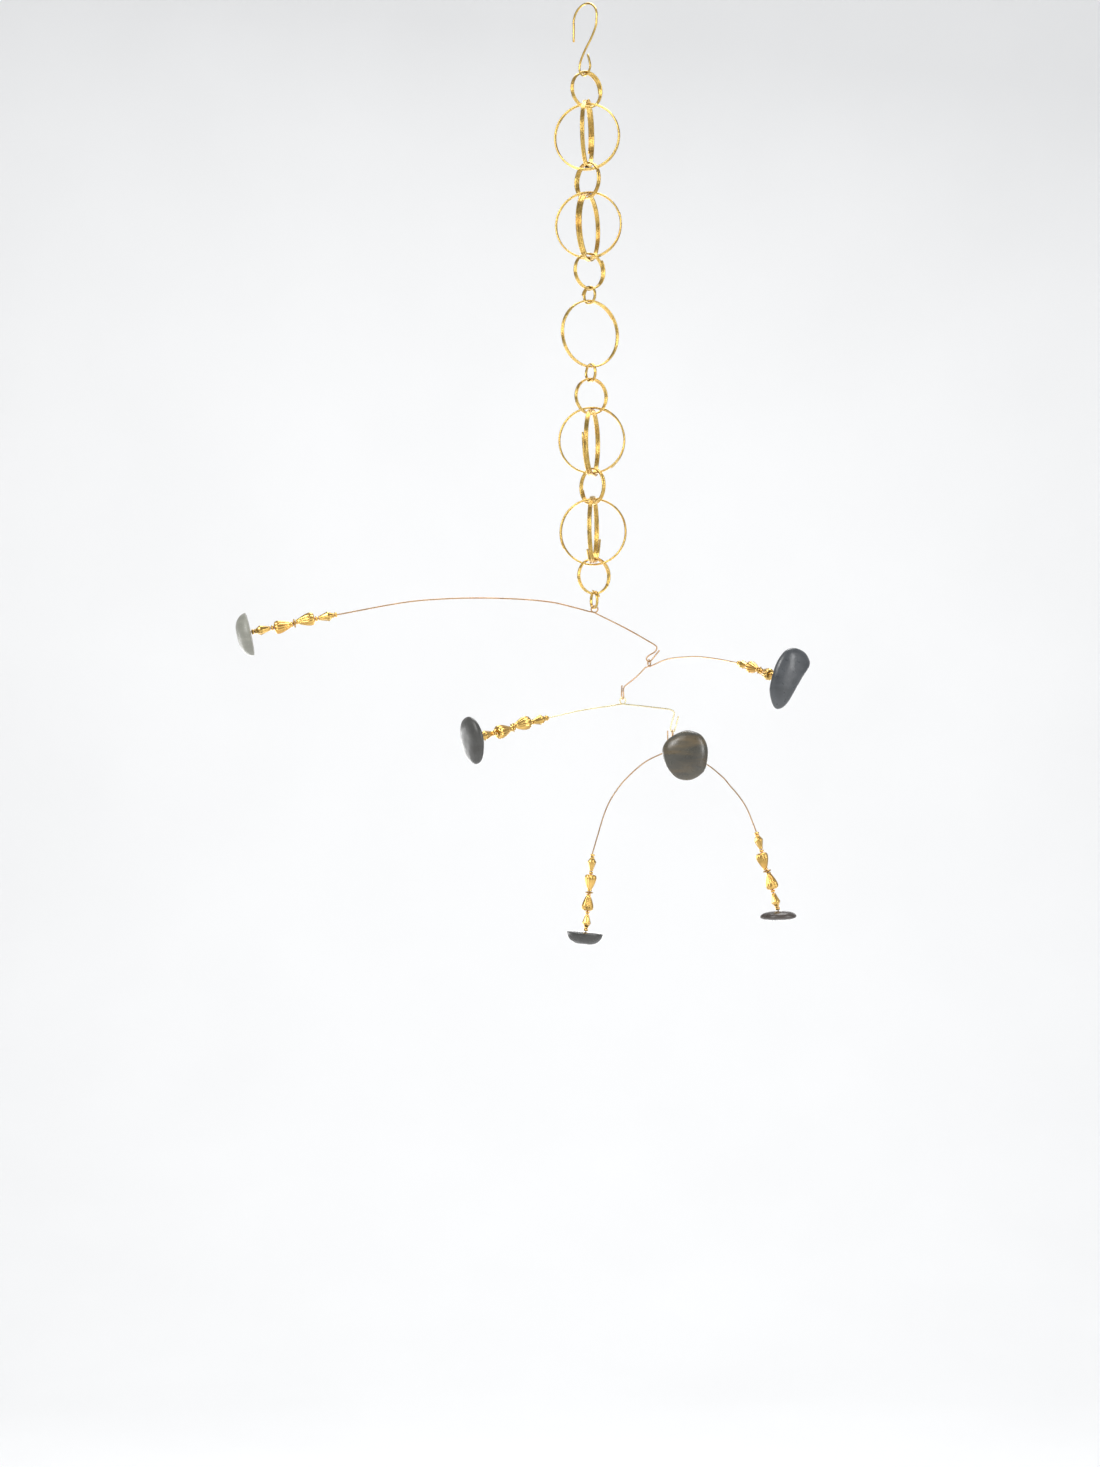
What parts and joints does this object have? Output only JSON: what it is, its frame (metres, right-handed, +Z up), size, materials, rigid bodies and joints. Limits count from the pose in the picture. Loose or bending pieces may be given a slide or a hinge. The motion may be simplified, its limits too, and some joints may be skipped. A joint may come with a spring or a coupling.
{
  "type": "hanging mobile",
  "caption": "Hanging mobile: coiled brass rings on an S-hook carry bent wire arms with brass beads and river pebbles.",
  "frame": {"origin": "top of the S-hook's upper bend on its inner side, where it bears on the rail or hook that holds the mobile", "axes": "+Z up, +X to the right as seen from the front, +Y to the back"},
  "size_m": [0.5739, 0.4155, 0.9569],
  "materials": {
    "ring_brass": "satin",
    "hook_brass": "satin",
    "arm_wire": "satin",
    "bead_brass": "polished",
    "pale_stone": "matte",
    "dark_stone": "satin"
  },
  "bodies": {
    "root": {"s_hook": "hook_brass", "ring_small_1": "ring_brass", "ring_small_2": "ring_brass", "ring_small_3": "ring_brass", "ring_small_4": "ring_brass", "ring_small_5": "ring_brass", "ring_small_6": "ring_brass", "ring_single": "ring_brass", "ring_pair_1_front": "ring_brass", "ring_pair_1_side": "ring_brass", "ring_pair_2_front": "ring_brass", "ring_pair_2_side": "ring_brass", "ring_pair_3_front": "ring_brass", "ring_pair_3_side": "ring_brass", "ring_pair_4_front": "ring_brass", "ring_pair_4_side": "ring_brass", "ring_tiny_1": "ring_brass", "ring_tiny_2": "ring_brass", "ring_tiny_3": "ring_brass", "arm_1": "arm_wire", "arm_2": "arm_wire", "arm_3": "arm_wire", "arm_4": "arm_wire", "arch_wire": "arm_wire", "left_bicone_1": "bead_brass", "left_drop_1": "bead_brass", "left_disc": "bead_brass", "left_drop_2": "bead_brass", "left_bicone_2": "bead_brass", "left_pebble": "pale_stone", "right_bicone_1": "bead_brass", "right_drop_1": "bead_brass", "right_disc": "bead_brass", "right_drop_2": "bead_brass", "right_bicone_2": "bead_brass", "right_pebble": "dark_stone", "centre_bicone_1": "bead_brass", "centre_drop_1": "bead_brass", "centre_disc": "bead_brass", "centre_drop_2": "bead_brass", "centre_bicone_2": "bead_brass", "centre_pebble": "dark_stone", "front_bicone_1": "bead_brass", "front_drop_1": "bead_brass", "front_disc": "bead_brass", "front_drop_2": "bead_brass", "front_bicone_2": "bead_brass", "front_pebble": "dark_stone", "low_left_bicone_1": "bead_brass", "low_left_drop_1": "bead_brass", "low_left_disc": "bead_brass", "low_left_drop_2": "bead_brass", "low_left_bicone_2": "bead_brass", "low_left_pebble": "dark_stone", "low_right_bicone_1": "bead_brass", "low_right_drop_1": "bead_brass", "low_right_disc": "bead_brass", "low_right_drop_2": "bead_brass", "low_right_bicone_2": "bead_brass", "low_right_pebble": "dark_stone"}
  },
  "joints": []
}
